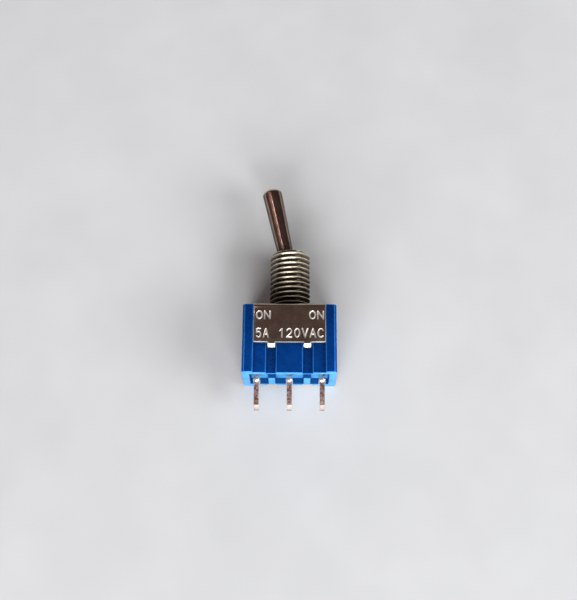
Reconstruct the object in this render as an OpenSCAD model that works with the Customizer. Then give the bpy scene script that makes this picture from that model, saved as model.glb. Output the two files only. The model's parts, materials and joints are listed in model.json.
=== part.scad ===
// Miniature toggle switch: single pole, changeover, two lasting positions, three solder
// terminals in a row and a threaded bushing for a panel.
//
// X runs along the row of terminals, Y along the bushing towards the lever's tip, and Z out
// of the front wide face. The origin is on the bushing's axis, in the panel seat, which is
// the outer face of the mounting frame. The switch lies on its rear wide face.
// Every piece is drawn standing, with the bushing's axis along +Z and the front wide face
// towards -Y, and laid_down() then turns it over. The lever is thrown to the left (-X).

/* [Body] */
// Width of the body, along the row of terminals
body_w = 13.2; // [12.6:0.1:14.5]
// Depth of the body, from wide face to wide face
body_d = 7.9; // [7.6:0.1:9]
// Height of the body, from the panel seat to the terminal face
body_h = 10.1; // [9.8:0.1:12]
// Case wall behind the mounting frame
side_wall = 1.2; // [1:0.05:1.4]
// Case floor that carries the terminals
floor_t = 1.1; // [0.8:0.05:1.4]
// Depth of the end ribs' tops below the panel seat
rib_drop = 0.25; // [0.1:0.05:0.6]
// Chamfer on the upright outer edges of the end ribs
rib_chamfer = 0.3; // [0.1:0.05:0.8]

/* [Terminal face] */
// Depth of the recess around the terminals
recess_h = 0.9; // [0.4:0.05:1.2]
// Distance that the recess reaches past the middles of the outer terminals
recess_reach = 0.95; // [0.7:0.05:1.2]
// Border of the terminal face around the recess, at the wide faces
recess_side_margin = 1.3; // [1.2:0.05:1.6]
// Width of the barriers between the terminals
barrier_w = 1; // [0.6:0.05:1.2]
// Distance of each barrier's centre from the middle
barrier_x = 2.5; // [2.3:0.05:2.7]
// Distance that a barrier reaches past the middle towards the front
barrier_reach = 0.5; // [0.2:0.05:1]
// Width of the pocket in front of each barrier
pocket_w = 1.3; // [1:0.05:1.5]
// Length of the pocket, from the barrier towards the front wide face
pocket_d = 1.7; // [1:0.05:1.9]
// Depth of the pocket below the recess
pocket_h = 0.4; // [0.2:0.05:0.6]

/* [Mounting frame] */
// Width of the mounting frame
frame_w = 10.1; // [9.9:0.05:11]
// Height of the mounting frame's side plates, from the panel seat
frame_h = 5.78; // [5:0.02:7]
// Thickness of the mounting frame's sheet
frame_t = 0.5; // [0.4:0.05:0.6]
// Inner radius of the mounting frame's bends
frame_inner_r = 0.12; // [0.08:0.02:0.4]
// Width of the crimped tabs
tab_w = 1; // [0.7:0.05:1.2]
// Length of the crimped tabs beyond their bends
tab_l = 0.5; // [0.35:0.05:0.65]
// Angle by which the tabs are crimped inwards
tab_angle = 42; // [30:1:50]
// Distance of each tab's centre from the middle
tab_x = 2.5; // [2.3:0.05:3]
// Distance of each groove's centre beyond its tab's centre
groove_shift = 0.06; // [0:0.01:0.15]

/* [Bushing] */
// Outer diameter of the bushing's thread
bushing_d = 5.85; // [5.8:0.05:6.6]
// Length of the bushing above the panel seat
bushing_l = 8.65; // [7.6:0.05:10]
// Chamfer at the bushing's mouth
bushing_chamfer = 0.4; // [0.2:0.05:0.5]
// Distance from one turn of the thread to the next
thread_pitch = 0.75; // [0.5:0.05:1]
// Depth of the thread's grooves
thread_depth = 0.36; // [0.2:0.02:0.4]
// Width of the thread's crests, as a share of the pitch
thread_crest = 0.37; // [0.2:0.01:0.5]
// Width of the step from the bushing's thread out to its shoulder
shoulder_step = 0.2; // [0.1:0.01:0.3]
// Height of the shoulder, which sits in a shallow seat in the mounting frame
shoulder_t = 0.15; // [0.1:0.01:0.2]
// Wall of the bushing's neck that passes through the mounting frame
neck_wall = 0.32; // [0.25:0.01:0.34]
// Width of the staked lip that holds the bushing in the mounting frame
stake_lip = 0.15; // [0.1:0.05:0.3]
// Thickness of the staked lip
stake_t = 0.3; // [0.2:0.05:0.4]
// Wall left outside each end of the lever's cross pin
pin_end_wall = 0.75; // [0.6:0.05:0.9]

/* [Lever] */
// Angle of the lever at each end of its throw
lever_tilt = 12.1; // [9:0.1:13]
// Height of the lever's pivot above the panel seat
pivot_h = 5.8; // [5:0.05:5.9]
// Length of the lever from the pivot to the tip
lever_l = 13.65; // [11:0.05:18]
// Diameter of the lever at its tip
lever_tip_d = 2.9; // [2.4:0.05:3.4]
// Diameter of the lever's shaft at the pivot
lever_root_d = 2.1; // [1.8:0.05:2.4]
// Radius of the rounded edge of the lever's tip
lever_tip_round = 0.55; // [0.1:0.05:1]
// Diameter of the lever's ball
ball_d = 3.6; // [3.3:0.05:3.7]
// Diameter of the lever's tail, below the ball
tail_d = 1.7; // [1.5:0.05:1.8]
// Length of the lever's tail from the pivot
tail_l = 7.2; // [6.8:0.05:8]
// Diameter of the blind hole in the tail
tail_hole_d = 1.1; // [0.9:0.05:1.2]
// Distance from the pivot to the end of the blind hole
tail_hole_end = 2.2; // [1.9:0.05:2.6]
// Diameter of the lever's cross pin
pin_d = 0.8; // [0.6:0.05:1]

/* [Plunger and spring] */
// Diameter of the plunger's head
plunger_head_d = 1.7; // [1.5:0.05:2]
// Diameter of the plunger's rounded tip
plunger_tip_d = 1.2; // [1:0.05:1.4]
// Length of the plunger's tapered end
plunger_taper_l = 1; // [0.6:0.05:1.4]
// Travel of the plunger into the tail
plunger_travel = 0.4; // [0.3:0.05:0.6]
// Length of the plunger's shank inside the tail
plunger_guide_l = 2.6; // [2:0.1:3]
// Diameter of the spring's wire
spring_wire_d = 0.16; // [0.12:0.01:0.2]
// Turns of the spring
spring_turns = 6; // [4:1:8]

/* [Rocker and contacts] */
// Length of the rocker
rocker_l = 8.9; // [8.6:0.1:9.4]
// Width of the rocker
rocker_w = 3.5; // [2.4:0.1:4]
// Thickness of the rocker's sheet
rocker_t = 0.5; // [0.4:0.05:0.7]
// Angle by which each of the rocker's arms is bent up
rocker_bend = 6; // [5.5:0.1:6.5]
// Height of the rocker's sheet above its fulcrum
rocker_rise = 0.25; // [0.2:0.01:0.3]
// Distance of the contacts from the middle
contact_x = 3.6; // [3.4:0.05:3.7]
// Diameter of the contacts
contact_d = 1.6; // [1.2:0.05:1.7]
// Thickness of the rocker's contacts
moving_contact_t = 0.25; // [0.2:0.01:0.3]
// Thickness of the terminals' contacts
fixed_contact_t = 0.35; // [0.3:0.01:0.5]
// Diameter of the contacts' rivet shanks
rivet_d = 0.7; // [0.5:0.05:0.9]
// Border of a side terminal's pad beyond its contact
pad_border = 0.05; // [0:0.01:0.2]

/* [Terminals] */
// Distance between neighbouring terminals
terminal_pitch = 4.6; // [4.5:0.01:4.75]
// Length of the terminals beyond the terminal face
terminal_l = 4.45; // [3:0.05:8]
// Width of the terminals
terminal_w = 2; // [1.8:0.05:2.4]
// Thickness of the terminals
terminal_t = 0.7; // [0.5:0.02:0.8]
// Chamfer at the corners of the terminals' tips
terminal_chamfer = 0.5; // [0.2:0.05:0.8]
// Diameter of the solder eyes
eye_d = 1.1; // [0.8:0.05:1.3]
// Distance from a terminal's tip to the centre of its solder eye
eye_from_tip = 1.35; // [1.2:0.05:1.8]
// Diameter of the swelling that locks each terminal
swell_d = 1; // [0.9:0.02:1.2]
// Length of the locking swelling, across the terminal
swell_l = 2.5; // [2.3:0.05:3]
// Distance of the locking swelling's centre below the terminal face
swell_drop = 0.23; // [0:0.01:0.6]

/* [Fits] */
// Gap between pieces that are fixed together
seat_gap = 0.02; // [0.01:0.01:0.05]
// Gap between the mounting frame's edges and the end ribs
rib_gap = 0.05; // [0.02:0.01:0.1]
// Gap around the bushing's staked lip in the top of the case
stake_gap = 0.15; // [0.05:0.01:0.2]
// Gap between the sides of a tab and of its groove
groove_gap = 0.22; // [0.16:0.01:0.4]
// Gap between the tabs' ends and the floors of the case's grooves
tab_gap = 0.17; // [0.05:0.01:0.2]
// Gap around the lever's ball in its seat
ball_gap = 0.05; // [0.03:0.01:0.08]
// Gap around the cross pin in the bushing's slots
pin_gap = 0.03; // [0.02:0.01:0.05]
// Gap around the plunger's shank in the tail
plunger_gap = 0.05; // [0.03:0.01:0.08]
// Gap between the thrown lever and the bushing's bore
swing_gap = 0.12; // [0.08:0.01:0.15]
// Gap between the thrown lever and the rim of the bushing's mouth
mouth_gap = 0.2; // [0.1:0.01:0.3]
// Gap between the plunger's tip and the rocker in mid-throw
tip_gap = 0.08; // [0.06:0.01:0.12]
// Gap between the closed contacts
contact_gap = 0.02; // [0.01:0.01:0.05]
// Gap between the rocker's ends and the case
rocker_end_gap = 0.45; // [0.2:0.05:0.6]
// Gap between the rocker's saddle and the fulcrum
saddle_gap = 0.05; // [0.03:0.01:0.08]
// Gap between the spring and the pieces around it
spring_gap = 0.04; // [0.02:0.01:0.06]

/* [Hidden] */
$fn = 96;
// Distance by which a cutting shape runs past the face that it cuts
over = 1;
// The case's middle part fits inside the mounting frame.
core_d = body_d - 2 * (frame_t + seat_gap);
core_top = -(frame_t + seat_gap);
core_r = frame_inner_r - seat_gap;
rib_x = frame_w / 2 + rib_gap;
groove_floor = body_d / 2 - frame_t - tab_l * sin(tab_angle) - tab_gap;
cavity_w = rocker_l + 2 * rocker_end_gap;
cavity_d = core_d - 2 * side_wall;
terminal_face = -body_h;
recess_floor = terminal_face + recess_h;
case_floor = recess_floor + floor_t;
// The lever swings about the middle of its ball.
ball_r = ball_d / 2;
seat_r = ball_r + ball_gap;
root_r = lever_root_d / 2;
tail_r = tail_d / 2;
tail_hole_r = tail_hole_d / 2;
function lever_r(s) = root_r + (lever_tip_d / 2 - root_r) * s / lever_l;
// Half-width that the thrown lever sweeps at a distance from the pivot
function swept_r(distance, r) = r / cos(lever_tilt) + distance * tan(lever_tilt);
// The bushing's throat is where the ball seat meets the half-width swept by the lever.
bushing_r = bushing_d / 2;
shoulder_r = bushing_r + shoulder_step;
throat_clear = root_r / cos(lever_tilt) + swing_gap;
throat_slope = tan(lever_tilt);
throat_square = 1 + throat_slope ^ 2;
throat_root = (throat_clear * throat_slope) ^ 2 - throat_square * (throat_clear ^ 2 - seat_r ^ 2);
throat_h = (sqrt(throat_root) - throat_clear * throat_slope) / throat_square;
throat_r = sqrt(seat_r ^ 2 - throat_h ^ 2);
mouth_h = bushing_l - pivot_h;
mouth_r = swept_r(mouth_h, lever_r(mouth_h)) + mouth_gap;
bushing_bottom = -(frame_t + stake_t);
bottom_r = swept_r(pivot_h - bushing_bottom, tail_r) + swing_gap;
// Whole turns of the thread, drawn as rings, end at the chamfer.
thread_l = bushing_l - bushing_chamfer;
thread_turns = floor(thread_l / thread_pitch);
thread_flank = thread_pitch * (1 - thread_crest) / 2;
neck_r = bottom_r + neck_wall;
stake_r = neck_r + stake_lip;
pin_r = pin_d / 2;
slot_r = bushing_r - pin_end_wall;
pin_l = 2 * (slot_r - pin_gap);
// The contacts and the rocker stack up from the case's floor.
pad_top = case_floor + terminal_t;
fixed_contact_top = pad_top + fixed_contact_t;
arm_bottom = fixed_contact_top + contact_gap + moving_contact_t;
fulcrum_h = arm_bottom - rocker_rise;
fulcrum_r = terminal_t / 2;
pad_inner_x = contact_x - contact_d / 2 - pad_border;
// Distances along the lever's axis, from the pivot towards the rocker
tip_r = plunger_tip_d / 2;
// In mid-throw the tip stands in the rocker's shallow V, clear of both arms.
tip_s = pivot_h - fulcrum_h - (rocker_rise + rocker_t + tip_r + tip_gap) / cos(rocker_bend);
head_s = tail_l + plunger_travel + plunger_gap;
shank_s = tail_l - plunger_guide_l;
spring_r = tail_hole_r - spring_gap - spring_wire_d / 2;
spring_h = shank_s - tail_hole_end - spring_wire_d - 2 * spring_gap;
// The spring's wire is a ring of points carried along a helix.
wire_sides = 6;
turn_steps = 14;

CASE_BLUE = "#0d4596";
NICKEL = "#a79f98";
LEVER_NICKEL = "#7d6c66";
STEEL = "#9a9a98";
NYLON = "#e8e4d8";
COPPER = "#b87a4b";
SILVER = "#cfcfcc";
TERMINAL_TIN = "#b9a79d";

// Turns a standing piece onto its rear wide face.
module laid_down() {
    rotate([-90, 0, 0]) children();
}

// Carries a piece drawn along the lever's axis to the pivot, thrown to the left.
module on_lever() {
    translate([0, 0, pivot_h]) rotate([0, -lever_tilt, 0]) children();
}

// Carries a piece drawn about the fulcrum in mid-throw to its place, right arm pressed.
module on_fulcrum() {
    translate([0, 0, fulcrum_h]) rotate([0, rocker_bend, 0]) children();
}

// Draws its children on the left and on the right.
module both_ends() {
    children();
    mirror([1, 0, 0]) children();
}

// Draws its children at the front and at the rear.
module both_faces() {
    children();
    mirror([0, 1, 0]) children();
}

// A box centred in X and Y between two heights.
module slab(w, d, bottom, top) {
    translate([-w / 2, -d / 2, bottom]) cube([w, d, top - bottom]);
}

// A box whose two long top edges are rounded, standing between two heights.
module round_shouldered(w, d, bottom, top, r) {
    slab(w, d, bottom, top - r);
    slab(w, d - 2 * r, bottom, top);
    both_faces() translate([-w / 2, d / 2 - r, top - r]) rotate([0, 90, 0]) cylinder(h = w, r = r);
}

// ---- Body ----

module end_rib() {
    outline = [[rib_x, -body_d / 2], [body_w / 2 - rib_chamfer, -body_d / 2],
               [body_w / 2, -body_d / 2 + rib_chamfer], [body_w / 2, body_d / 2 - rib_chamfer],
               [body_w / 2 - rib_chamfer, body_d / 2], [rib_x, body_d / 2]];
    translate([0, 0, terminal_face]) linear_extrude(-rib_drop - terminal_face) polygon(outline);
}

module case_grooves() {
    top = -frame_h + seat_gap;
    both_ends() both_faces()
        translate([tab_x + groove_shift, groove_floor + over, 0])
            slab(tab_w + 2 * groove_gap, 2 * over, terminal_face - over, top);
}

// The recess around the terminals, less the barriers, with a pocket in front of each.
module terminal_recess() {
    d = body_d - 2 * recess_side_margin;
    difference() {
        slab(2 * (terminal_pitch + recess_reach), d, terminal_face - over, recess_floor);
        both_ends() translate([barrier_x - barrier_w / 2, -barrier_reach, terminal_face - 2 * over])
            cube([barrier_w, d, recess_h + 3 * over]);
    }
    both_ends() translate([barrier_x - barrier_w / 2, -barrier_reach - pocket_d, terminal_face - over])
        cube([pocket_w, pocket_d, recess_h + pocket_h + over]);
}

// The slots for the terminals run up the ends of the cavity as far as their pads.
module terminal_slots() {
    for (x = [-terminal_pitch, 0, terminal_pitch])
        translate([x, 0, 0]) slab(terminal_t + 2 * seat_gap, terminal_w + 2 * seat_gap,
                                  terminal_face, pad_top + seat_gap);
}

module case() color(CASE_BLUE) laid_down() difference() {
    union() {
        round_shouldered(rib_x + body_w / 2, core_d, terminal_face, core_top, core_r);
        both_ends() end_rib();
    }
    slab(cavity_w, cavity_d, case_floor, over);
    translate([0, 0, bushing_bottom - stake_gap]) cylinder(h = 2 * over, r = stake_r + stake_gap);
    case_grooves();
    terminal_recess();
    terminal_slots();
}

// ---- Mounting frame: a folded channel, crimped to the case with four tabs ----

// A tab turns about the inner corner of the side plate's lower edge.
module crimped_tab() {
    translate([tab_x - tab_w / 2, body_d / 2 - frame_t, -frame_h]) {
        rotate([-tab_angle, 0, 0]) translate([0, 0, -tab_l]) cube([tab_w, frame_t, tab_l]);
        intersection() {
            rotate([0, 90, 0]) cylinder(h = tab_w, r = frame_t);
            translate([0, 0, -frame_t]) cube([tab_w, frame_t, frame_t]);
        }
    }
}

module mounting_frame() color(NICKEL) laid_down() difference() {
    union() {
        difference() {
            round_shouldered(frame_w, body_d, -frame_h, 0, frame_inner_r + frame_t);
            round_shouldered(frame_w + 2 * over, body_d - 2 * frame_t,
                             -frame_h - over, -frame_t, frame_inner_r);
        }
        both_ends() both_faces() crimped_tab();
    }
    translate([0, 0, -over]) cylinder(h = 2 * over, r = neck_r + seat_gap);
    translate([0, 0, -shoulder_t]) cylinder(h = 2 * over, r = shoulder_r + seat_gap);
}

// ---- Bushing ----

// One V-shaped groove of the thread, around its deepest circle at height 0.
module thread_groove() {
    deep_r = bushing_r - thread_depth;
    outer_r = bushing_r + over;
    reach = thread_flank * (outer_r - deep_r) / thread_depth;
    rotate_extrude() polygon([[deep_r, 0], [outer_r, -reach], [outer_r, reach]]);
}

module bushing_outside() {
    difference() {
        cylinder(h = thread_l, r = bushing_r);
        for (i = [1 : thread_turns])
            translate([0, 0, thread_l - (i - 0.5) * thread_pitch]) thread_groove();
    }
    translate([0, 0, thread_l])
        cylinder(h = bushing_chamfer, r1 = bushing_r, r2 = bushing_r - bushing_chamfer);
    translate([0, 0, -shoulder_t]) cylinder(h = shoulder_t, r = shoulder_r);
    translate([0, 0, -frame_t]) cylinder(h = frame_t, r = neck_r);
    translate([0, 0, bushing_bottom]) cylinder(h = stake_t, r = stake_r);
}

// The bore: a cone for the tail, the ball seat and a cone for the lever.
module bushing_bore() {
    cone = pivot_h - bushing_bottom;
    flare = (bottom_r - seat_r) / cone;
    translate([0, 0, bushing_bottom - over])
        cylinder(h = cone + over, r1 = bottom_r + over * flare, r2 = seat_r);
    translate([0, 0, pivot_h]) sphere(r = seat_r);
    spread = (mouth_r - throat_r) / (mouth_h - throat_h);
    translate([0, 0, pivot_h + throat_h])
        cylinder(h = mouth_h - throat_h + over, r1 = throat_r, r2 = mouth_r + over * spread);
}

// Slots for the ends of the cross pin, open towards the case.
module pin_slots() {
    half = pin_r + pin_gap;
    translate([0, 0, pivot_h]) rotate([90, 0, 0]) cylinder(h = 2 * slot_r, r = half, center = true);
    slab(2 * half, 2 * slot_r, bushing_bottom - over, pivot_h);
}

module bushing() color(NICKEL) laid_down() difference() {
    bushing_outside();
    bushing_bore();
    pin_slots();
}

// ---- Lever, cross pin, spring and plunger ----

module lever() color(LEVER_NICKEL) laid_down() on_lever() difference() {
    shaft_l = lever_l - lever_tip_round;
    union() {
        cylinder(h = shaft_l, r1 = root_r, r2 = lever_r(shaft_l));
        translate([0, 0, shaft_l]) rotate_extrude()
            intersection() {
                translate([lever_r(shaft_l) - lever_tip_round, 0]) circle(r = lever_tip_round);
                square([lever_tip_d, lever_tip_round]);
            }
        translate([0, 0, shaft_l]) cylinder(h = lever_tip_round, r = lever_r(shaft_l) - lever_tip_round);
        sphere(r = ball_r);
        translate([0, 0, -tail_l]) cylinder(h = tail_l, r = tail_r);
    }
    translate([0, 0, -tail_l - over]) cylinder(h = tail_l - tail_hole_end + over, r = tail_hole_r);
    rotate([90, 0, 0]) cylinder(h = ball_d, r = pin_r + seat_gap, center = true);
}

module cross_pin() color(STEEL) laid_down() on_lever()
    rotate([90, 0, 0]) cylinder(h = pin_l, r = pin_r, center = true);

function wire_ring(turn) = [for (k = [0 : wire_sides - 1])
    let (b = 360 * k / wire_sides, r = spring_r + spring_wire_d / 2 * cos(b))
    [r * cos(360 * turn), r * sin(360 * turn), spring_h * turn / spring_turns + spring_wire_d / 2 * sin(b)]];

module spring() color(STEEL) laid_down() on_lever() {
    rings = spring_turns * turn_steps;
    points = [for (i = [0 : rings]) each wire_ring(i / turn_steps)];
    walls = [for (i = [0 : rings - 1], k = [0 : wire_sides - 1])
        let (a = i * wire_sides, n = (k + 1) % wire_sides)
        each [[a + k, a + wire_sides + k, a + n], [a + n, a + wire_sides + k, a + wire_sides + n]]];
    ends = [[for (k = [0 : wire_sides - 1]) k],
            [for (k = [0 : wire_sides - 1]) rings * wire_sides + wire_sides - 1 - k]];
    translate([0, 0, spring_gap + spring_wire_d / 2 - shank_s]) polyhedron(points, concat(walls, ends));
}

module plunger() color(NYLON) laid_down() on_lever() {
    taper_s = tip_s - plunger_taper_l;
    translate([0, 0, -tip_s]) cylinder(h = tip_s - shank_s, r = tail_hole_r - plunger_gap);
    translate([0, 0, -taper_s]) cylinder(h = taper_s - head_s, r = plunger_head_d / 2);
    translate([0, 0, -tip_s]) cylinder(h = plunger_taper_l, r1 = tip_r, r2 = plunger_head_d / 2);
    translate([0, 0, -tip_s]) sphere(r = tip_r);
}

// ---- Rocker and contacts ----

// Carries a piece drawn on the level right arm to the bent-up right arm.
module on_arm() {
    rotate([0, -rocker_bend, 0]) children();
}

module rocker() color(COPPER) laid_down() on_fulcrum() difference() {
    both_ends() on_arm() difference() {
        translate([0, -rocker_w / 2, rocker_rise]) cube([rocker_l / 2, rocker_w, rocker_t]);
        translate([contact_x, 0, 0]) cylinder(h = rocker_rise + rocker_t + over, r = rivet_d / 2 + seat_gap);
    }
    rotate([90, 0, 0]) cylinder(h = rocker_w + 2 * over, r = fulcrum_r + saddle_gap, center = true);
}

module moving_contact() {
    on_arm() translate([contact_x, 0, rocker_rise - moving_contact_t]) {
        cylinder(h = moving_contact_t, r = contact_d / 2);
        cylinder(h = moving_contact_t + rocker_t, r = rivet_d / 2);
    }
}

module moving_contact_left() color(SILVER) laid_down() on_fulcrum() mirror([1, 0, 0]) moving_contact();
module moving_contact_right() color(SILVER) laid_down() on_fulcrum() moving_contact();

module fixed_contact() {
    translate([contact_x, 0, pad_top]) cylinder(h = fixed_contact_t, r = contact_d / 2);
    translate([contact_x, 0, case_floor]) cylinder(h = terminal_t, r = rivet_d / 2);
}

module fixed_contact_left() color(SILVER) laid_down() mirror([1, 0, 0]) fixed_contact();
module fixed_contact_right() color(SILVER) laid_down() fixed_contact();

// ---- Terminals ----

// A flat blade up to a height, with a chamfered tip, a solder eye and its locking swelling.
module blade(top) {
    half = terminal_w / 2;
    tip = terminal_face - terminal_l;
    outline = [[-half, top], [-half, tip + terminal_chamfer], [-half + terminal_chamfer, tip],
               [half - terminal_chamfer, tip], [half, tip + terminal_chamfer], [half, top]];
    swell_r = swell_d / 2;
    swell_end = swell_l / 2 - swell_r;
    difference() {
        translate([-terminal_t / 2, 0, 0]) rotate([90, 0, 90]) linear_extrude(terminal_t) polygon(outline);
        translate([0, 0, tip + eye_from_tip]) rotate([0, 90, 0])
            cylinder(h = terminal_t + 2 * over, r = eye_d / 2, center = true);
    }
    translate([0, 0, terminal_face - swell_drop]) {
        rotate([90, 0, 0]) cylinder(h = 2 * swell_end, r = swell_r, center = true);
        both_faces() translate([0, swell_end, 0]) sphere(r = swell_r);
    }
}

// The centre terminal ends in a rounded edge, the rocker's fulcrum.
module terminal_centre() color(TERMINAL_TIN) laid_down() {
    blade(fulcrum_h);
    translate([0, 0, fulcrum_h]) rotate([90, 0, 0]) cylinder(h = terminal_w, r = fulcrum_r, center = true);
}

// A side terminal is bent inwards over the case's floor into a pad for its contact.
module side_terminal() {
    translate([terminal_pitch, 0, 0]) blade(case_floor);
    bend_x = terminal_pitch - terminal_t / 2;
    difference() {
        union() {
            translate([pad_inner_x, -terminal_w / 2, case_floor])
                cube([bend_x - pad_inner_x, terminal_w, terminal_t]);
            intersection() {
                translate([bend_x, 0, case_floor]) rotate([90, 0, 0])
                    cylinder(h = terminal_w, r = terminal_t, center = true);
                translate([bend_x, -terminal_w / 2, case_floor]) cube([terminal_t, terminal_w, terminal_t]);
            }
        }
        translate([contact_x, 0, case_floor - over])
            cylinder(h = terminal_t + 2 * over, r = rivet_d / 2 + seat_gap);
    }
}

module terminal_left() color(TERMINAL_TIN) laid_down() mirror([1, 0, 0]) side_terminal();
module terminal_right() color(TERMINAL_TIN) laid_down() side_terminal();

case();
mounting_frame();
bushing();
lever();
cross_pin();
spring();
plunger();
rocker();
moving_contact_left();
moving_contact_right();
fixed_contact_left();
fixed_contact_right();
terminal_left();
terminal_centre();
terminal_right();
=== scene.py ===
"""Looks of the miniature toggle switch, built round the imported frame.

Pieces are shaped in millimetres, standing on the terminals with the bushing's axis along +Z and
the front wide face towards -Y, as the CAD source draws them. They are then laid on their rear
face and scaled to metres, into the frame's own coordinates.
"""
import json
import math

import bmesh
import bpy
from mathutils import Matrix, Vector

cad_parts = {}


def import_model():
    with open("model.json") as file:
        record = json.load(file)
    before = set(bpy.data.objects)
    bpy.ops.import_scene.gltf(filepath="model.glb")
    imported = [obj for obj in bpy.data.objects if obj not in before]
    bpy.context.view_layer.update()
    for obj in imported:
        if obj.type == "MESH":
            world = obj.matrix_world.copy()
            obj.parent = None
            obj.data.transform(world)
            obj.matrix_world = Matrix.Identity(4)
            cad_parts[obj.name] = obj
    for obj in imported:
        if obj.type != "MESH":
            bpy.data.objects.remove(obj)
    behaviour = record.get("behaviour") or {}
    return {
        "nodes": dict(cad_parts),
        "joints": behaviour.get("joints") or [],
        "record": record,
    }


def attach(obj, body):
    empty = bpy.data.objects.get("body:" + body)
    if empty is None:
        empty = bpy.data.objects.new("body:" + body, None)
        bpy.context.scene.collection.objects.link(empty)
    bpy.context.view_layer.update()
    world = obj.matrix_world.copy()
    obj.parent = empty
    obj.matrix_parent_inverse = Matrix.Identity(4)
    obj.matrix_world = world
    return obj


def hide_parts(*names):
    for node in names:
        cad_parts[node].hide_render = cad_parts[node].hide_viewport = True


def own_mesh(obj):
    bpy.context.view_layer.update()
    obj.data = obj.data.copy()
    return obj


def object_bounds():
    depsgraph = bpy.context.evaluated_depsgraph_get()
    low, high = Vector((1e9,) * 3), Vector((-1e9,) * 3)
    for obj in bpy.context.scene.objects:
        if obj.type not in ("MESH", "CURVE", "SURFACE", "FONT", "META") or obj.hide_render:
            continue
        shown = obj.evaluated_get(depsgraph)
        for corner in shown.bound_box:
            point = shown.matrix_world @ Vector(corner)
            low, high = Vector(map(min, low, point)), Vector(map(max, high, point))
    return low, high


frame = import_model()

CAD_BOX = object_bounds()
MM = 0.001

# ---- Sizes of the part, in millimetres ----

BUSHING = next(m for m in frame["record"]["mounts"] if m["name"] == "panel_bushing")
SWING = next(j for j in frame["joints"] if j["name"] == "lever_swing")

BUSHING_R = BUSHING["dims"]["r_mm"]
BUSHING_CHAMFER = 0.4
BUSHING_L = BUSHING["dims"]["length_mm"] + BUSHING_CHAMFER
PIVOT_H = SWING["pos_m"][1] / MM
LEVER_TILT = SWING["range_deg"][1] / 2
THREAD_PITCH = 0.75
THREAD_DEPTH = 0.42
THREAD_ROOT_R = BUSHING_R - THREAD_DEPTH
FRAME_T = 0.5
SHOULDER_R, SHOULDER_T = BUSHING_R + 0.2, 0.15
NECK_R, STAKE_R, STAKE_T = 2.724, 2.874, 0.3
BOTTOM_R, SEAT_R, THROAT_R, MOUTH_R = 2.404, 1.85, 1.442, 1.970
PIN_R, PIN_GAP, SEAT_GAP, SLOT_R = 0.4, 0.03, 0.02, 2.175
LEVER_L, LEVER_TIP_R, LEVER_ROOT_R, LEVER_ROUND = 13.65, 1.45, 1.05, 0.55
BALL_R, TAIL_R, TAIL_L, TAIL_HOLE_R, TAIL_HOLE_END = 1.8, 0.85, 7.2, 0.55, 2.2
SPRING_R, SPRING_WIRE_R, SPRING_TURNS = 0.43, 0.08, 6
SPRING_LOW, SPRING_H = -4.48, 2.16
BODY_D = 7.9
# The case and the terminals are shaped lying down, so these heights are along Y
TERMINAL_FACE, RECESS_FLOOR = -10.1, -9.2
RECESS_HALF_X, RECESS_HALF_Z = 6, 3.5
SWELL_Y, SWELL_R = TERMINAL_FACE - 0.23, 0.5

TURNED_SIDES, CUTTER_SIDES, WIRE_SIDES = 96, 32, 10
TO_METRES = Matrix.Scale(MM, 4)
LAID = Matrix.Rotation(math.radians(-90), 4, "X")
ON_LEVER = (LAID @ Matrix.Translation((0, 0, PIVOT_H))
            @ Matrix.Rotation(math.radians(-LEVER_TILT), 4, "Y"))


# ---- Mesh helpers ----

def linked(name, bm):
    mesh = bpy.data.meshes.new(name)
    bm.to_mesh(mesh)
    bm.free()
    obj = bpy.data.objects.new(name, mesh)
    bpy.context.scene.collection.objects.link(obj)
    return obj


def take_modified(obj):
    """Gives obj the mesh that its modifiers make, and removes them."""
    graph = bpy.context.evaluated_depsgraph_get()
    mesh = bpy.data.meshes.new_from_object(obj.evaluated_get(graph))
    obj.modifiers.clear()
    old, obj.data = obj.data, mesh
    bpy.data.meshes.remove(old)


def bevelled(obj, width, *materials):
    """Rounds the sharp edges. The narrow new faces take the second material."""
    for material in materials:
        obj.data.materials.append(material)
    mod = obj.modifiers.new("bevel", "BEVEL")
    mod.width, mod.segments = width, 2
    mod.limit_method, mod.angle_limit = "ANGLE", math.radians(40)
    mod.miter_outer = "MITER_ARC"
    mod.use_clamp_overlap = False
    mod.material = 1
    take_modified(obj)


def cut(obj, cutter):
    mod = obj.modifiers.new("cut", "BOOLEAN")
    mod.object, mod.operation, mod.solver = cutter, "DIFFERENCE", "MANIFOLD"
    take_modified(obj)
    bpy.data.objects.remove(cutter)


def cad_copy(node, name):
    """A copy of a CAD node in millimetres, its flat faces joined."""
    bm = bmesh.new()
    bm.from_mesh(frame["nodes"][node].data)
    bmesh.ops.scale(bm, vec=(1 / MM,) * 3, verts=bm.verts)
    bmesh.ops.remove_doubles(bm, verts=bm.verts, dist=1e-4)
    bmesh.ops.dissolve_limit(bm, angle_limit=math.radians(0.5), verts=bm.verts, edges=bm.edges)
    return linked(name, bm)


def shade(obj, angle):
    """Smooth shading, with edges sharper than angle kept crisp."""
    bm = bmesh.new()
    bm.from_mesh(obj.data)
    bmesh.ops.recalc_face_normals(bm, faces=bm.faces)
    for face in bm.faces:
        face.smooth = True
    for edge in bm.edges:
        edge.smooth = len(edge.link_faces) == 2 and edge.calc_face_angle() < math.radians(angle)
    bm.to_mesh(obj.data)
    bm.free()


def paint(obj, materials, choose):
    """Gives each face the material that choose picks by its centre and normal, if it picks one."""
    for face in obj.data.polygons:
        picked = choose(face.center, face.normal)
        if picked:
            face.material_index = materials.index(picked)


def place(obj, matrix, body, node, slot, *materials, angle=32):
    """Puts a shaped piece into the frame, in place of a CAD node. Painted faces stay painted."""
    obj.data.transform(TO_METRES @ matrix)
    shade(obj, angle)
    painted = [face.material_index for face in obj.data.polygons]
    obj.data.materials.clear()
    for material in materials:
        obj.data.materials.append(material)
    obj.data.polygons.foreach_set("material_index", painted)
    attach(obj, body)
    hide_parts(node)


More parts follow.
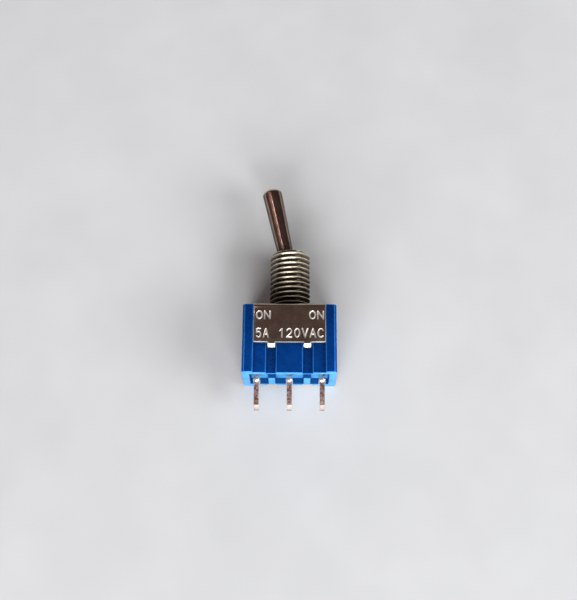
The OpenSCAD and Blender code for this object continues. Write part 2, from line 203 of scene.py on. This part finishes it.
def ring(bm, r, z, sides):
    """A level ring of points, or one point repeated where the radius is zero."""
    if r == 0:
        return [bm.verts.new((0, 0, z))] * sides
    turn = math.tau / sides
    return [bm.verts.new((r * math.cos(k * turn), r * math.sin(k * turn), z)) for k in range(sides)]


def bridge(bm, a, b):
    """Faces between two rings; a ring of one repeated point closes to a fan."""
    sides = len(a)
    for k in range(sides):
        n = (k + 1) % sides
        corners = list(dict.fromkeys((a[k], a[n], b[n], b[k])))
        if len(corners) > 2:
            bm.faces.new(corners)


def turned(bm, profile, sides, first=None):
    """Rings of the profile's (radius, height) points, joined in order; returns the last ring."""
    last = first
    for r, z in profile:
        new = ring(bm, r, z, sides)
        if last:
            bridge(bm, last, new)
        last = new
    return last


def arc(cx, cz, r, start, end, steps):
    """Points on a circle, from one angle to another in degrees."""
    turn = math.radians(end - start) / steps
    return [(cx + r * math.cos(math.radians(start) + k * turn),
             cz + r * math.sin(math.radians(start) + k * turn)) for k in range(steps + 1)]


def rod(name, r, length, height):
    """A closed cylinder along Y, centred at a height on the Z axis, for cutting."""
    bm = bmesh.new()
    turned(bm, [(0, -length / 2), (r, -length / 2), (r, length / 2), (0, length / 2)],
           CUTTER_SIDES)
    bmesh.ops.rotate(bm, verts=bm.verts, cent=(0, 0, 0),
                     matrix=Matrix.Rotation(math.radians(90), 3, "X"))
    bmesh.ops.translate(bm, verts=bm.verts, vec=(0, 0, height))
    bmesh.ops.recalc_face_normals(bm, faces=bm.faces)
    return linked(name, bm)


def block(name, low, high):
    """A closed box between two corners, for cutting."""
    bm = bmesh.new()
    bmesh.ops.create_cube(bm, size=1)
    size = Vector(high) - Vector(low)
    bmesh.ops.scale(bm, vec=size, verts=bm.verts)
    bmesh.ops.translate(bm, verts=bm.verts, vec=Vector(low) + size / 2)
    return linked(name, bm)


def swept(name, points, r, closed=False):
    """A round tube along points in space, with domed ends unless it is closed."""
    bm = bmesh.new()
    points = [Vector(p) for p in points]
    last = len(points) - 1
    turn = math.tau / WIRE_SIDES
    corners = [(math.cos(turn * k), math.sin(turn * k)) for k in range(WIRE_SIDES)]
    dome = [(share, math.sqrt(1 - share * share)) for share in (0.5, 0.85)]
    rings = []
    for i, p in enumerate(points):
        before = points[(i - 1) % (last + 1)] if closed or i > 0 else p
        after = points[(i + 1) % (last + 1)] if closed or i < last else p
        along = (after - before).normalized()
        aside = Vector((0, 1, 0)) if abs(along.y) < 0.9 else Vector((1, 0, 0))
        side = along.cross(aside).normalized()
        up = along.cross(side)

        def circle(at, radius):
            return [bm.verts.new(at + radius * (c * side + s * up)) for c, s in corners]

        if not closed and i == 0:
            rings.append([bm.verts.new(p - r * along)] * WIRE_SIDES)
            rings += [circle(p - along * r * out, r * share) for share, out in dome]
        rings.append(circle(p, r))
        if not closed and i == last:
            rings += [circle(p + along * r * out, r * share) for share, out in reversed(dome)]
            rings.append([bm.verts.new(p + r * along)] * WIRE_SIDES)
    for a, b in zip(rings, rings[1:]):
        bridge(bm, a, b)
    if closed:
        bridge(bm, rings[-1], rings[0])
    bmesh.ops.recalc_face_normals(bm, faces=bm.faces)
    return linked(name, bm)


# ---- Materials ----

class Recipe:
    """A node material with a few short calls for the nodes that it uses."""

    def __init__(self, name, roughness, metallic=0.0, **sockets):
        self.material = bpy.data.materials.new(name)
        self.material.use_nodes = True
        self.tree = self.material.node_tree
        self.shader = self.tree.nodes["Principled BSDF"]
        self.shader.inputs["Roughness"].default_value = roughness
        self.shader.inputs["Metallic"].default_value = metallic
        for socket, value in sockets.items():
            self.shader.inputs[socket.replace("_", " ")].default_value = value
        self.coords = self.node("ShaderNodeTexCoord").outputs["Object"]
        self.height = None

    def node(self, kind, **settings):
        made = self.tree.nodes.new(kind)
        for key, value in settings.items():
            setattr(made, key, value)
        return made

    def join(self, value, socket):
        """Links a node's output to a socket, or sets the socket to a plain value."""
        if isinstance(value, bpy.types.NodeSocket):
            self.tree.links.new(value, socket)
        else:
            socket.default_value = value

    def noise(self, size_mm, stretch=(1, 1, 1), turn=(0, 0, 0), detail=3.0, rough=0.55, seed=0.0):
        """Noise whose grain is about size_mm, longer along an axis where stretch is above 1."""
        mapping = self.node("ShaderNodeMapping")
        self.join(self.coords, mapping.inputs["Vector"])
        mapping.inputs["Scale"].default_value = [1 / (size_mm * MM * s) for s in stretch]
        mapping.inputs["Rotation"].default_value = [math.radians(a) for a in turn]
        mapping.inputs["Location"].default_value = (seed, seed * 0.7, seed * 1.3)
        made = self.node("ShaderNodeTexNoise")
        self.join(mapping.outputs["Vector"], made.inputs["Vector"])
        made.inputs["Scale"].default_value = 1.0
        made.inputs["Detail"].default_value = detail
        made.inputs["Roughness"].default_value = rough
        return made.outputs["Fac"]

    def spread(self, value, low, high, to_low=0.0, to_high=1.0):
        """The value's range from low to high, clamped, as to_low to to_high."""
        made = self.node("ShaderNodeMapRange")
        for socket, number in zip(("Value", "From Min", "From Max", "To Min", "To Max"),
                                  (value, low, high, to_low, to_high)):
            self.join(number, made.inputs[socket])
        return made.outputs["Result"]

    def math(self, operation, a, b):
        made = self.node("ShaderNodeMath", operation=operation)
        self.join(a, made.inputs[0])
        self.join(b, made.inputs[1])
        return made.outputs[0]

    def mix(self, share, a, b):
        made = self.node("ShaderNodeMix", data_type="RGBA")
        self.join(share, made.inputs[0])
        self.join(a, made.inputs[6])
        self.join(b, made.inputs[7])
        return made.outputs[2]

    def openness(self, reach_mm):
        """1 in the open, less in corners and hollows narrower than about reach_mm."""
        made = self.node("ShaderNodeAmbientOcclusion", samples=8)
        made.inputs["Distance"].default_value = reach_mm * MM
        return made.outputs["AO"]

    def off_axis(self):
        """Distance from the bushing's axis, in metres."""
        flat = self.node("ShaderNodeVectorMath", operation="MULTIPLY")
        self.join(self.coords, flat.inputs[0])
        flat.inputs[1].default_value = (1, 0, 1)
        made = self.node("ShaderNodeVectorMath", operation="LENGTH")
        self.join(flat.outputs[0], made.inputs[0])
        return made.outputs["Value"]

    def along(self):
        """Distance along Y from the panel seat, in metres."""
        made = self.node("ShaderNodeSeparateXYZ")
        self.join(self.coords, made.inputs[0])
        return made.outputs["Y"]

    def paint(self, **sockets):
        for socket, value in sockets.items():
            self.join(value, self.shader.inputs[socket.replace("_", " ")])

    def bump(self, height, depth_mm, strength=1.0):
        """Adds relief to what the earlier calls gave."""
        made = self.node("ShaderNodeBump")
        self.join(height, made.inputs["Height"])
        made.inputs["Distance"].default_value = depth_mm * MM
        made.inputs["Strength"].default_value = strength
        if self.height:
            self.join(self.height, made.inputs["Normal"])
        self.height = made.outputs["Normal"]
        self.join(self.height, self.shader.inputs["Normal"])


def rgb(red, green, blue):
    """A colour given in 0 to 255 screen values, as the linear values that nodes take."""
    def linear(c):
        c /= 255
        return c / 12.92 if c <= 0.04045 else ((c + 0.055) / 1.055) ** 2.4
    return (linear(red), linear(green), linear(blue), 1.0)


def moulded(name, deep, pale, scuffs, roughness, corner=0.42):
    """Moulded plastic: slow colour drift, fine grain, pale rubbed flecks, and corners darkened with
    painted shade.
    """
    r = Recipe(name, roughness, IOR=1.5, Specular_Tint=(0.25, 0.7, 1.0, 1.0))
    drift = r.noise(2.2, detail=2.0)
    body = r.mix(r.spread(drift, 0.3, 0.7), deep, pale)
    grain = r.noise(0.16, stretch=(1, 1, 3), turn=(20, 35, 0), detail=5.0, rough=0.7, seed=4)
    flecks = r.spread(grain, 0.66, 0.8)
    rubs = r.spread(r.noise(1.4, detail=4.0, rough=0.65, seed=9), 0.52, 0.75)
    rubbed = r.math("MULTIPLY", flecks, r.math("MULTIPLY", rubs, scuffs))
    worn = r.mix(rubbed, body, rgb(90, 150, 225))
    # Painted shade: corners and hollows within 3 mm darken towards a deep blue, down to the share
    # given by corner.
    corners = r.spread(r.openness(3.0), 0.55, 0.98, corner, 1.0)
    gloss = r.noise(0.7, detail=4.0, seed=2)
    r.paint(Base_Color=r.mix(corners, rgb(1, 14, 52), worn),
            Roughness=r.spread(gloss, 0.3, 0.7, roughness - 0.06, roughness + 0.08))
    r.bump(r.noise(0.07, detail=2.0, seed=6), 0.004)
    r.bump(drift, 0.05, 0.5)
    return r.material


def plated(name, dark, light, roughness, grain=(1, 1, 1), grain_mm=0.12, scratch=0.5,
           wobble=0.02, metallic=1.0, hollow=0.25, reach=0.6, shut=0.2, rim=1.0, crest_r=None,
           tarnish=None):
    """Bright plated metal: cloudy tone, drawn grain, fine scratches and a slightly uneven surface.

    Hollows within reach darken to a share of the dark tone, as painted shade, and rim is how bright
    the metal is at a grazing angle. A tarnish colour gives it dull spots. With crest_r it is a
    thread: painted shade darkens the grooves, more so near the panel seat, and the crests at that
    radius are worn pale, partly as painted highlight.
    """
    r = Recipe(name, roughness, metallic, Specular_Tint=(rim, rim * 0.95, rim * 0.92, 1.0))
    clouds = r.spread(r.noise(1.1, detail=3.0, seed=3), 0.35, 0.68)
    lines = r.noise(grain_mm, stretch=grain, detail=3.0, rough=0.6, seed=7)
    scores = r.noise(0.09, stretch=(1, 14, 1), turn=(0, 0, 32), detail=4.0, seed=11)
    marks = r.spread(scores, 0.62, 0.74)
    base = r.mix(clouds, dark, light)
    if tarnish:
        spots = r.spread(r.noise(0.3, detail=3.0, rough=0.65, seed=27), 0.44, 0.62)
        base = r.mix(spots, base, tarnish)
    # Painted shade: hollows within reach take this darker tone.
    shaded = tuple(c * hollow for c in dark[:3]) + (1.0,)
    base = r.mix(r.spread(r.openness(reach), shut, 0.95, 1.0, 0.0), base, shaded)
    tone = r.spread(lines, 0.25, 0.75, roughness * 0.75, roughness * 1.3)
    tone = r.math("ADD", tone, r.math("MULTIPLY", marks, 0.16 * scratch))
    if crest_r:
        radius, height = r.off_axis(), r.along()
        # Painted shade: the grooves darken by their depth below the crest, less so towards the
        # mouth. The crests are worn pale, partly as painted highlight, more so towards the mouth.
        raised = r.spread(radius, (crest_r - 0.28) * MM, (crest_r - 0.04) * MM)
        upper = r.spread(height, 0.25 * BUSHING_L * MM, BUSHING_L * MM, 0.0, 0.9)
        base = r.mix(r.math("MAXIMUM", raised, upper), shaded, base)
        crest = r.spread(radius, (crest_r - 0.08) * MM, (crest_r - 0.01) * MM)
        patches = r.spread(r.noise(0.36, detail=4.0, rough=0.75, seed=21), 0.4, 0.6, 0.12, 1.0)
        rise = r.spread(height, 0.0, 0.8 * BUSHING_L * MM, 0.3, 1.0)
        worn = r.math("MULTIPLY", r.math("MULTIPLY", crest, patches), rise)
        base = r.mix(worn, base, rgb(190, 182, 160))
        tone = r.spread(crest, 0.0, 1.0, tone, 0.58)
        r.paint(Metallic=r.spread(r.math("MAXIMUM", worn, upper), 0.0, 1.0, 1.0, 0.6))
    r.paint(Base_Color=base, Roughness=tone)
    r.bump(lines, 0.0016)
    r.bump(marks, 0.0015 * scratch)
    r.bump(r.noise(1.6, detail=1.0, seed=15), wobble)
    return r.material


def nylon():
    r = Recipe("plunger_nylon", 0.45, IOR=1.53)
    r.shader.inputs["Subsurface Weight"].default_value = 0.2
    r.shader.inputs["Subsurface Scale"].default_value = 0.4 * MM
    clouds = r.spread(r.noise(0.8), 0.3, 0.7)
    r.paint(Base_Color=r.mix(clouds, rgb(222, 217, 203), rgb(236, 232, 221)))
    r.bump(r.noise(0.06, seed=5), 0.003)
    return r.material


# The case: its large faces, its bevels, lighter with scuffs and a painted highlight, the pale faces
# at the terminals' end, a paler copy of the blue as painted light from the front, and the recess
# walls, a lighter copy as painted light
BLUE = moulded("case_blue", rgb(0, 43, 105), rgb(0, 50, 117), 0.35, 0.28, corner=0.12)
BLUE_EDGE_SCUFF_HIGHLIGHT = moulded("case_blue_edge_scuff_highlight", rgb(26, 102, 196), rgb(46, 124, 214), 1.0, 0.4)
BLUE_LIT_END = moulded("case_blue_lit_end", rgb(52, 130, 190), rgb(78, 148, 202), 1.0, 0.42, corner=1.0)
BLUE_RECESS_LIT = moulded("case_blue_recess_lit", rgb(12, 74, 138), rgb(22, 86, 150), 1.0, 0.42,
                      corner=0.6)
# The mounting frame: its faces, its cut edges and its stamped letters
SHEET = plated("frame_nickel", rgb(178, 160, 150), rgb(202, 188, 178), 0.16, grain=(12, 1, 1),
               wobble=0.006)
SHEET_CUT = plated("frame_edge", rgb(206, 198, 192), rgb(226, 220, 215), 0.45, grain=(3, 1, 1),
                   metallic=0.6)
STAMPED = plated("frame_stamped", rgb(205, 198, 192), rgb(226, 221, 216), 0.4, grain_mm=0.06,
                 metallic=0.6)
# The bushing: its plain surfaces and its thread, a darker copy of the nickel as painted shade.
# Within 5 mm of other surfaces the nickel darkens further, as painted shade.
NICKEL = dict(roughness=0.17, grain=(1, 2, 1), grain_mm=0.1, scratch=0.8, wobble=0.06,
              hollow=0.12, reach=5.0, shut=0.3, rim=0.5)
TURNED = plated("bushing_nickel", rgb(160, 149, 139), rgb(194, 184, 173), **NICKEL)
THREADED = plated("thread_nickel", rgb(138, 127, 114), rgb(166, 155, 140), **NICKEL,
                  crest_r=BUSHING_R)
# The lever: its shaft and ball, and its tip, painted paler as a highlight
# The shaft is darker than the bushing's nickel, and within 9 mm of other surfaces, the floor too,
# it darkens further: painted dark reflection and shade.
POLISHED = plated("lever_nickel", rgb(150, 130, 120), rgb(170, 153, 143), 0.13, grain=(1, 8, 1),
                  scratch=1.2, wobble=0.045, hollow=0.14, reach=9.0, shut=0.68, rim=0.25)
LEVER_TIP_HIGHLIGHT = plated("lever_tip_highlight", rgb(196, 182, 170), rgb(222, 210, 198), 0.36, scratch=1.5,
                  wobble=0.045, reach=9.0, metallic=0.8)
# The terminals: their narrow edges, their bevels and ends, and their wide faces and swellings,
# which take a paler, untarnished copy of the tin as painted highlight
TINNED = plated("terminal_tin", rgb(206, 150, 144), rgb(250, 224, 216), 0.34, grain=(1, 4, 1),
                scratch=1.5, wobble=0.11, metallic=0.85, tarnish=rgb(104, 74, 66))
TIN_CUT = plated("terminal_end", rgb(136, 124, 119), rgb(168, 158, 152), 0.6, grain=(3, 1, 1),
                 metallic=0.5)
TIN_PALE_HIGHLIGHT = plated("terminal_pale_highlight", rgb(222, 208, 196), rgb(252, 244, 234), 0.3, wobble=0.11,
                   metallic=0.85)
# The pieces inside
STEEL = plated("pin_steel", rgb(150, 150, 150), rgb(178, 178, 178), 0.25)
COPPER = plated("rocker_copper", rgb(176, 106, 66), rgb(200, 134, 92), 0.3, grain=(8, 1, 1))
SILVER = plated("contact_silver", rgb(205, 205, 200), rgb(226, 226, 222), 0.28)
NYLON = nylon()


# ---- Case ----

def case():
    obj = cad_copy("case", "case_moulding")
    paints = (BLUE, BLUE_EDGE_SCUFF_HIGHLIGHT, BLUE_LIT_END, BLUE_RECESS_LIT)
    bevelled(obj, 0.07, *paints)
    slack = 0.05

    def choose(centre, normal):
        x, y, z = centre
        # Faces towards the terminals' end, the recess floor too, take the paler blue: painted light
        # from the front.
        if normal.y < -0.99 and y < RECESS_FLOOR + slack:
            return BLUE_LIT_END
        # The recess walls take a lighter copy of the blue: painted light reaching into the recess.
        if TERMINAL_FACE + slack < y < RECESS_FLOOR - slack:
            if abs(x) < RECESS_HALF_X and abs(z) < RECESS_HALF_Z:
                return BLUE_RECESS_LIT

    paint(obj, paints, choose)
    place(obj, Matrix(), "housing", "case", "blue_plastic", *paints)


# ---- Mounting frame with its stamped lettering ----

def glyph(letter):
    """The centre-lines of a letter's strokes in a unit cell, and whether each one is closed."""
    def bow(cx, cy, rx, ry, start, end, steps=20):
        return [(cx + rx * x, cy + ry * y) for x, y in arc(0, 0, 1, start, end, steps)]
    legs = {
        "N": [[(0, 0), (0, 1)], [(0, 1), (1, 0)], [(1, 0), (1, 1)]],
        "A": [[(0, 0), (0.5, 1)], [(0.5, 1), (1, 0)], [(0.2, 0.34), (0.8, 0.34)]],
        "V": [[(0, 1), (0.5, 0)], [(0.5, 0), (1, 1)]],
        "C": [bow(0.52, 0.5, 0.52, 0.5, 42, 318)],
        "1": [[(0.2, 0.76), (0.58, 1)], [(0.58, 1), (0.58, 0)]],
        "2": [bow(0.48, 0.7, 0.42, 0.3, 165, -20, 10) + [(0.7, 0.42), (0.3, 0.2), (0.04, 0)],
              [(0.04, 0), (0.94, 0)]],
        "5": [[(0.9, 1), (0.14, 1)], [(0.14, 1), (0.08, 0.54)],
              [(0.08, 0.54)] + bow(0.47, 0.32, 0.45, 0.32, 100, -145, 12)],
    }
    if letter in "O0":
        width = 0.5 if letter == "O" else 0.44
        return [(bow(0.5, 0.5, width, 0.5, 0, 351, 39), True)]
    return [(line, False) for line in legs[letter]]


def stamp(obj, word, left, right, top, bottom):
    """Presses a word into the front wide face, as round-bottomed grooves."""
    half_groove, stroke_r, gap = 0.115, 0.15, 0.12
    y = -BODY_D / 2 - math.sqrt(stroke_r ** 2 - half_groove ** 2)
    width = (right - left - gap * (len(word) - 1)) / len(word)
    sx, sz = width - 2 * half_groove, top - bottom - 2 * half_groove
    for i, letter in enumerate(word):
        x0 = left + i * (width + gap) + half_groove
        for n, (line, closed) in enumerate(glyph(letter)):
            points = [(x0 + x * sx, y, bottom + half_groove + z * sz) for x, z in line]
            cut(obj, swept(f"stroke_{i}_{n}", points, stroke_r, closed))


# Each word's left and right, and its line's top and bottom, on the front wide face
MARKS, RATING = (-1.24, -2.57), (-3.82, -5.28)
WORDS = (("ON", -4.72, -2.6, *MARKS), ("ON", 2.72, 4.86, *MARKS),
         ("5A", -4.72, -2.84, *RATING), ("120VAC", -1.59, 4.86, *RATING))
LETTERED_HALF_X, LETTERED_HIGH, LETTERED_LOW, LETTER_DEPTH = 4.95, -1.2, -5.3, 0.08


def mounting_frame():
    obj = cad_copy("mounting_frame", "mounting_frame_sheet")
    obj.data.transform(LAID.inverted())
    paints = (SHEET, SHEET_CUT, STAMPED)
    bevelled(obj, 0.05, *paints)
    for word in WORDS:
        stamp(obj, *word)

    def choose(centre, normal):
        x, y, z = centre
        sunk = 1e-4 < y + BODY_D / 2 < LETTER_DEPTH
        if sunk and LETTERED_LOW < z < LETTERED_HIGH and abs(x) < LETTERED_HALF_X:
            return STAMPED
        if normal.z < -0.6 and z < -3:
            return SHEET_CUT

    paint(obj, paints, choose)
    place(obj, LAID, "housing", "mounting_frame", "plated_sheet", *paints)


# ---- Threaded bushing ----

# One pitch of the thread: heights as shares of the pitch, depths as shares of the thread's depth
THREAD = [(0.0, 0.08), (0.04, 0.01), (0.07, 0.0), (0.12, 0.0), (0.15, 0.01), (0.19, 0.08),
          (0.3, 0.42), (0.44, 0.86), (0.5, 0.98), (0.55, 1.0), (0.6, 0.98), (0.67, 0.86)]


def thread_tube(bm, sides):
    """The helical outside. Rows follow the helix, and gather into a plain ring at each end.

    Returns those two rings. A row meets the row one turn further on where the last column joins
    the first.
    """
    rows_a_turn = len(THREAD)
    turns = math.ceil(BUSHING_L / THREAD_PITCH) + 1
    foot_r, chamfer_slope = THREAD_ROOT_R + 0.2, 0.9
    low, high = ring(bm, foot_r, 0, sides), ring(bm, THREAD_ROOT_R, BUSHING_L, sides)
    rows = []
    for i in range(-rows_a_turn - 1, (turns + 1) * rows_a_turn):
        part, depth = THREAD[i % rows_a_turn]
        start = (i // rows_a_turn + part) * THREAD_PITCH
        row = []
        for k in range(sides):
            z = start + THREAD_PITCH * k / sides
            if z <= 0:
                row.append(low[k])
            elif z >= BUSHING_L:
                row.append(high[k])
            else:
                mouth = BUSHING_R - max(0, z - (BUSHING_L - BUSHING_CHAMFER)) * chamfer_slope
                r = min(BUSHING_R - THREAD_DEPTH * depth, mouth)
                a = math.tau * k / sides
                row.append(bm.verts.new((r * math.cos(a), r * math.sin(a), z)))
        rows.append(row)
    for i in range(len(rows) - 1):
        for k in range(sides):
            n, over = (k + 1) % sides, rows_a_turn if k == sides - 1 else 0
            if i + over + 1 >= len(rows):
                continue
            corners = (rows[i][k], rows[i + over][n], rows[i + over + 1][n], rows[i + 1][k])
            corners = list(dict.fromkeys(corners))
            if len(corners) > 2:
                bm.faces.new(corners)
    return low, high


def bushing():
    bm = bmesh.new()
    low, high = thread_tube(bm, TURNED_SIDES)
    bottom = -FRAME_T - STAKE_T
    # From the thread's foot round the shoulder, the neck and the staked end, and up the bore
    inside = [(SHOULDER_R - 0.03, 0), (SHOULDER_R, -0.03), (SHOULDER_R, -SHOULDER_T),
              (NECK_R, -SHOULDER_T), (NECK_R, -FRAME_T), (STAKE_R, -FRAME_T),
              (STAKE_R, bottom + 0.05), (STAKE_R - 0.05, bottom), (BOTTOM_R, bottom),
              (SEAT_R, PIVOT_H)]
    top_angle = math.degrees(math.acos(THROAT_R / SEAT_R))
    inside += arc(0, PIVOT_H, SEAT_R, 6, top_angle, 10)
    inside += [(MOUTH_R - 0.03, BUSHING_L - 0.14), (MOUTH_R + 0.02, BUSHING_L - 0.04),
               (MOUTH_R + 0.07, BUSHING_L)]
    bridge(bm, turned(bm, inside, TURNED_SIDES, low), high)
    bmesh.ops.recalc_face_normals(bm, faces=bm.faces)
    obj = linked("bushing_threaded", bm)
    half = PIN_R + PIN_GAP
    cut(obj, rod("slot_end", half, 2 * SLOT_R, PIVOT_H))
    cut(obj, block("slot_run", (-half, -SLOT_R, bottom - 1), (half, SLOT_R, PIVOT_H)))

    def choose(centre, normal):
        x, y, z = centre
        if math.hypot(x, y) > THREAD_ROOT_R - 0.02 and 0 < z < BUSHING_L - BUSHING_CHAMFER:
            return THREADED

    paint(obj, (TURNED, THREADED), choose)
    place(obj, LAID, "housing", "bushing", "plated_brass", TURNED, THREADED, angle=40)


# ---- Lever, spring and the pieces inside ----

def lever():
    def shaft_r(s):
        return LEVER_ROOT_R + (LEVER_TIP_R - LEVER_ROOT_R) * s / LEVER_L

    top = LEVER_L - LEVER_ROUND
    # The ball meets the shaft at joint_s and the tail at the end angle
    joint_s = math.sqrt(BALL_R ** 2 - shaft_r(1.4) ** 2)
    start = math.degrees(math.asin(joint_s / BALL_R))
    end = -math.degrees(math.acos(TAIL_R / BALL_R))
    profile = [(0, LEVER_L), (0.3, LEVER_L), (0.7, LEVER_L - 0.004)]
    profile += reversed(arc(shaft_r(top) - LEVER_ROUND, top, LEVER_ROUND, 0, 84, 12))
    profile += [(shaft_r(s), s) for s in (11, 9, 7, 5, 3, joint_s + 0.1)]
    profile += arc(0, 0, BALL_R, start - 1.5, end, 24)
    profile += [(TAIL_R, -TAIL_L + 0.08), (TAIL_R - 0.06, -TAIL_L), (TAIL_HOLE_R + 0.04, -TAIL_L),
                (TAIL_HOLE_R, -TAIL_L + 0.05), (TAIL_HOLE_R, -TAIL_HOLE_END), (0, -TAIL_HOLE_END)]
    bm = bmesh.new()
    turned(bm, profile, TURNED_SIDES)
    bmesh.ops.recalc_face_normals(bm, faces=bm.faces)
    obj = linked("lever_polished", bm)
    cut(obj, rod("pin_hole", PIN_R + SEAT_GAP, 2 * BALL_R + 1, 0))

    def choose(centre, normal):
        # The rounded tip takes the paler metal: painted highlight.
        if centre.z > LEVER_L - 0.8 * LEVER_ROUND:
            return LEVER_TIP_HIGHLIGHT

    paint(obj, (POLISHED, LEVER_TIP_HIGHLIGHT), choose)
    place(obj, ON_LEVER, "lever", "lever", "polished_nickel", POLISHED, LEVER_TIP_HIGHLIGHT, angle=40)


def spring():
    steps = SPRING_TURNS * 28
    flat = 0.35 / SPRING_TURNS

    def rise(share):
        """The share of the height at a share of the wire, closed at the first and last turns."""
        return min(1.0, max(0.0, (share - flat) / (1 - 2 * flat)))

    points = [(SPRING_R * math.cos(math.tau * SPRING_TURNS * i / steps),
               SPRING_R * math.sin(math.tau * SPRING_TURNS * i / steps),
               SPRING_LOW + SPRING_H * rise(i / steps)) for i in range(steps + 1)]
    obj = swept("spring_coil", points, SPRING_WIRE_R)
    place(obj, ON_LEVER, "lever", "spring", "spring_steel", STEEL)
    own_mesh(obj)


def terminal(side):
    obj = cad_copy(f"terminal_{side}", f"solder_terminal_{side}")
    paints = (TINNED, TIN_CUT, TIN_PALE_HIGHLIGHT)
    bevelled(obj, 0.05, *paints)
    tip = min(v.co.y for v in obj.data.vertices)

    def choose(centre, normal):
        if normal.y < -0.3 and centre.y < tip + 1:
            return TIN_CUT
        # Swellings and wide faces take the paler tin: painted highlight.
        if abs(centre.y - SWELL_Y) < SWELL_R or abs(normal.x) > 0.7:
            return TIN_PALE_HIGHLIGHT

    paint(obj, paints, choose)
    place(obj, Matrix(), "housing", f"terminal_{side}", "tinned_brass", *paints)


case()
mounting_frame()
bushing()
lever()
spring()
for side in ("left", "centre", "right"):
    terminal(side)

# Small pieces keep their CAD meshes, which are fine enough, and only take a material
CARRIED = {"cross_pin": STEEL, "plunger": NYLON, "rocker": COPPER,
           "moving_contact_left": SILVER, "moving_contact_right": SILVER,
           "fixed_contact_left": SILVER, "fixed_contact_right": SILVER}
for node, material in CARRIED.items():
    mesh = frame["nodes"][node].data
    mesh.materials.clear()
    mesh.materials.append(material)


# ---- Floor, light and camera ----

def floor():
    """A pale floor. It darkens towards the front lamp, which would bleach it there."""
    bm = bmesh.new()
    half_side, hair = 3.0, 0.00002
    bmesh.ops.create_grid(bm, x_segments=1, y_segments=1, size=half_side)
    obj = linked("floor", bm)
    obj.location.z = CAD_BOX[0].z - hair
    r = Recipe("floor_pale", 1.0, Specular_IOR_Level=0.0)
    drift = r.spread(r.noise(14, detail=2.0), 0.3, 0.7)
    pale = r.mix(drift, rgb(198, 200, 202), rgb(204, 206, 208))
    from_lamp = r.math("POWER", r.spread(r.along(), -1.3, -0.1), 2.0)
    r.paint(Base_Color=r.mix(r.spread(from_lamp, 0.0, 1.0, 0.06, 1.0), rgb(0, 0, 0), pale))
    obj.data.materials.append(r.material)


def lamp(name, azimuth, elevation, distance, size, power, colour=(1, 1, 1)):
    """A soft rectangular lamp aimed at the object. Azimuth 0 stands at -Y, and 90 at +X.

    Distance and size are in metres, and power is in watts.
    """
    data = bpy.data.lights.new(name, "AREA")
    data.shape, (data.size, data.size_y) = "RECTANGLE", size
    data.energy, data.color = power, colour
    obj = bpy.data.objects.new(name, data)
    a, e = math.radians(azimuth), math.radians(elevation)
    back = Vector((math.sin(a) * math.cos(e), -math.cos(a) * math.cos(e), math.sin(e)))
    target = (CAD_BOX[0] + CAD_BOX[1]) / 2
    obj.location = target + back * distance
    obj.rotation_euler = back.to_track_quat("Z", "Y").to_euler()
    bpy.context.scene.collection.objects.link(obj)


def world():
    """A studio along Y: grey in front, warm and dark behind, and pale only straight behind."""
    made = bpy.data.worlds.new("studio")
    bpy.context.scene.world = made
    made.use_nodes = True
    tree = made.node_tree
    coords = tree.nodes.new("ShaderNodeTexCoord")
    split = tree.nodes.new("ShaderNodeSeparateXYZ")
    spread = tree.nodes.new("ShaderNodeMapRange")
    ramp = tree.nodes.new("ShaderNodeValToRGB")
    tree.links.new(coords.outputs["Generated"], split.inputs[0])
    tree.links.new(split.outputs["Y"], spread.inputs["Value"])
    spread.inputs["From Min"].default_value = -1.0
    tree.links.new(spread.outputs["Result"], ramp.inputs[0])
    tree.links.new(ramp.outputs["Color"], tree.nodes["Background"].inputs["Color"])
    stops = ramp.color_ramp.elements
    stops[0].position, stops[0].color = 0.0, (0.24, 0.24, 0.25, 1)
    stops[1].position, stops[1].color = 1.0, (0.45, 0.43, 0.4, 1)
    for position, colour in ((0.3, (0.22, 0.22, 0.225, 1)), (0.5, (0.16, 0.14, 0.135, 1)),
                             (0.67, (0.12, 0.088, 0.078, 1)), (0.93, (0.06, 0.05, 0.048, 1))):
        stop = stops.new(position)
        stop.color = colour


def camera():
    """The camera stands above the front, at the viewing angle that shows the terminal face.

    The angles are in radians.
    """
    tilt, roll, pan = 0.34668, 0.003786, 0.010188
    at_mm = (1.156, -43.786, 126.096)
    turn = (Matrix.Rotation(tilt, 4, "X") @ Matrix.Rotation(pan, 4, "Y")
            @ Matrix.Rotation(roll, 4, "Z"))
    data = bpy.data.cameras.new("camera")
    data.lens, data.sensor_width, data.clip_start = 55.33, 36.0, 0.001
    obj = bpy.data.objects.new("camera", data)
    obj.matrix_world = Matrix.Translation(Vector(at_mm) * MM) @ turn
    bpy.context.scene.collection.objects.link(obj)
    bpy.context.scene.camera = obj


floor()
world()
lamp("front_window", -2, 23, 1.3, (1.3, 0.65), 37.0)
lamp("left_softbox", -119, 44, 0.45, (0.14, 0.2), 0.06, (1.0, 0.5, 0.45))
lamp("right_softbox", 68, 26, 0.9, (0.44, 0.4), 6.0)
lamp("overhead_strip", -129, 59.5, 0.45, (0.02, 0.06), 0.025, (1.0, 0.88, 0.86))
camera()

scene = bpy.context.scene
scene.view_settings.view_transform = "Standard"
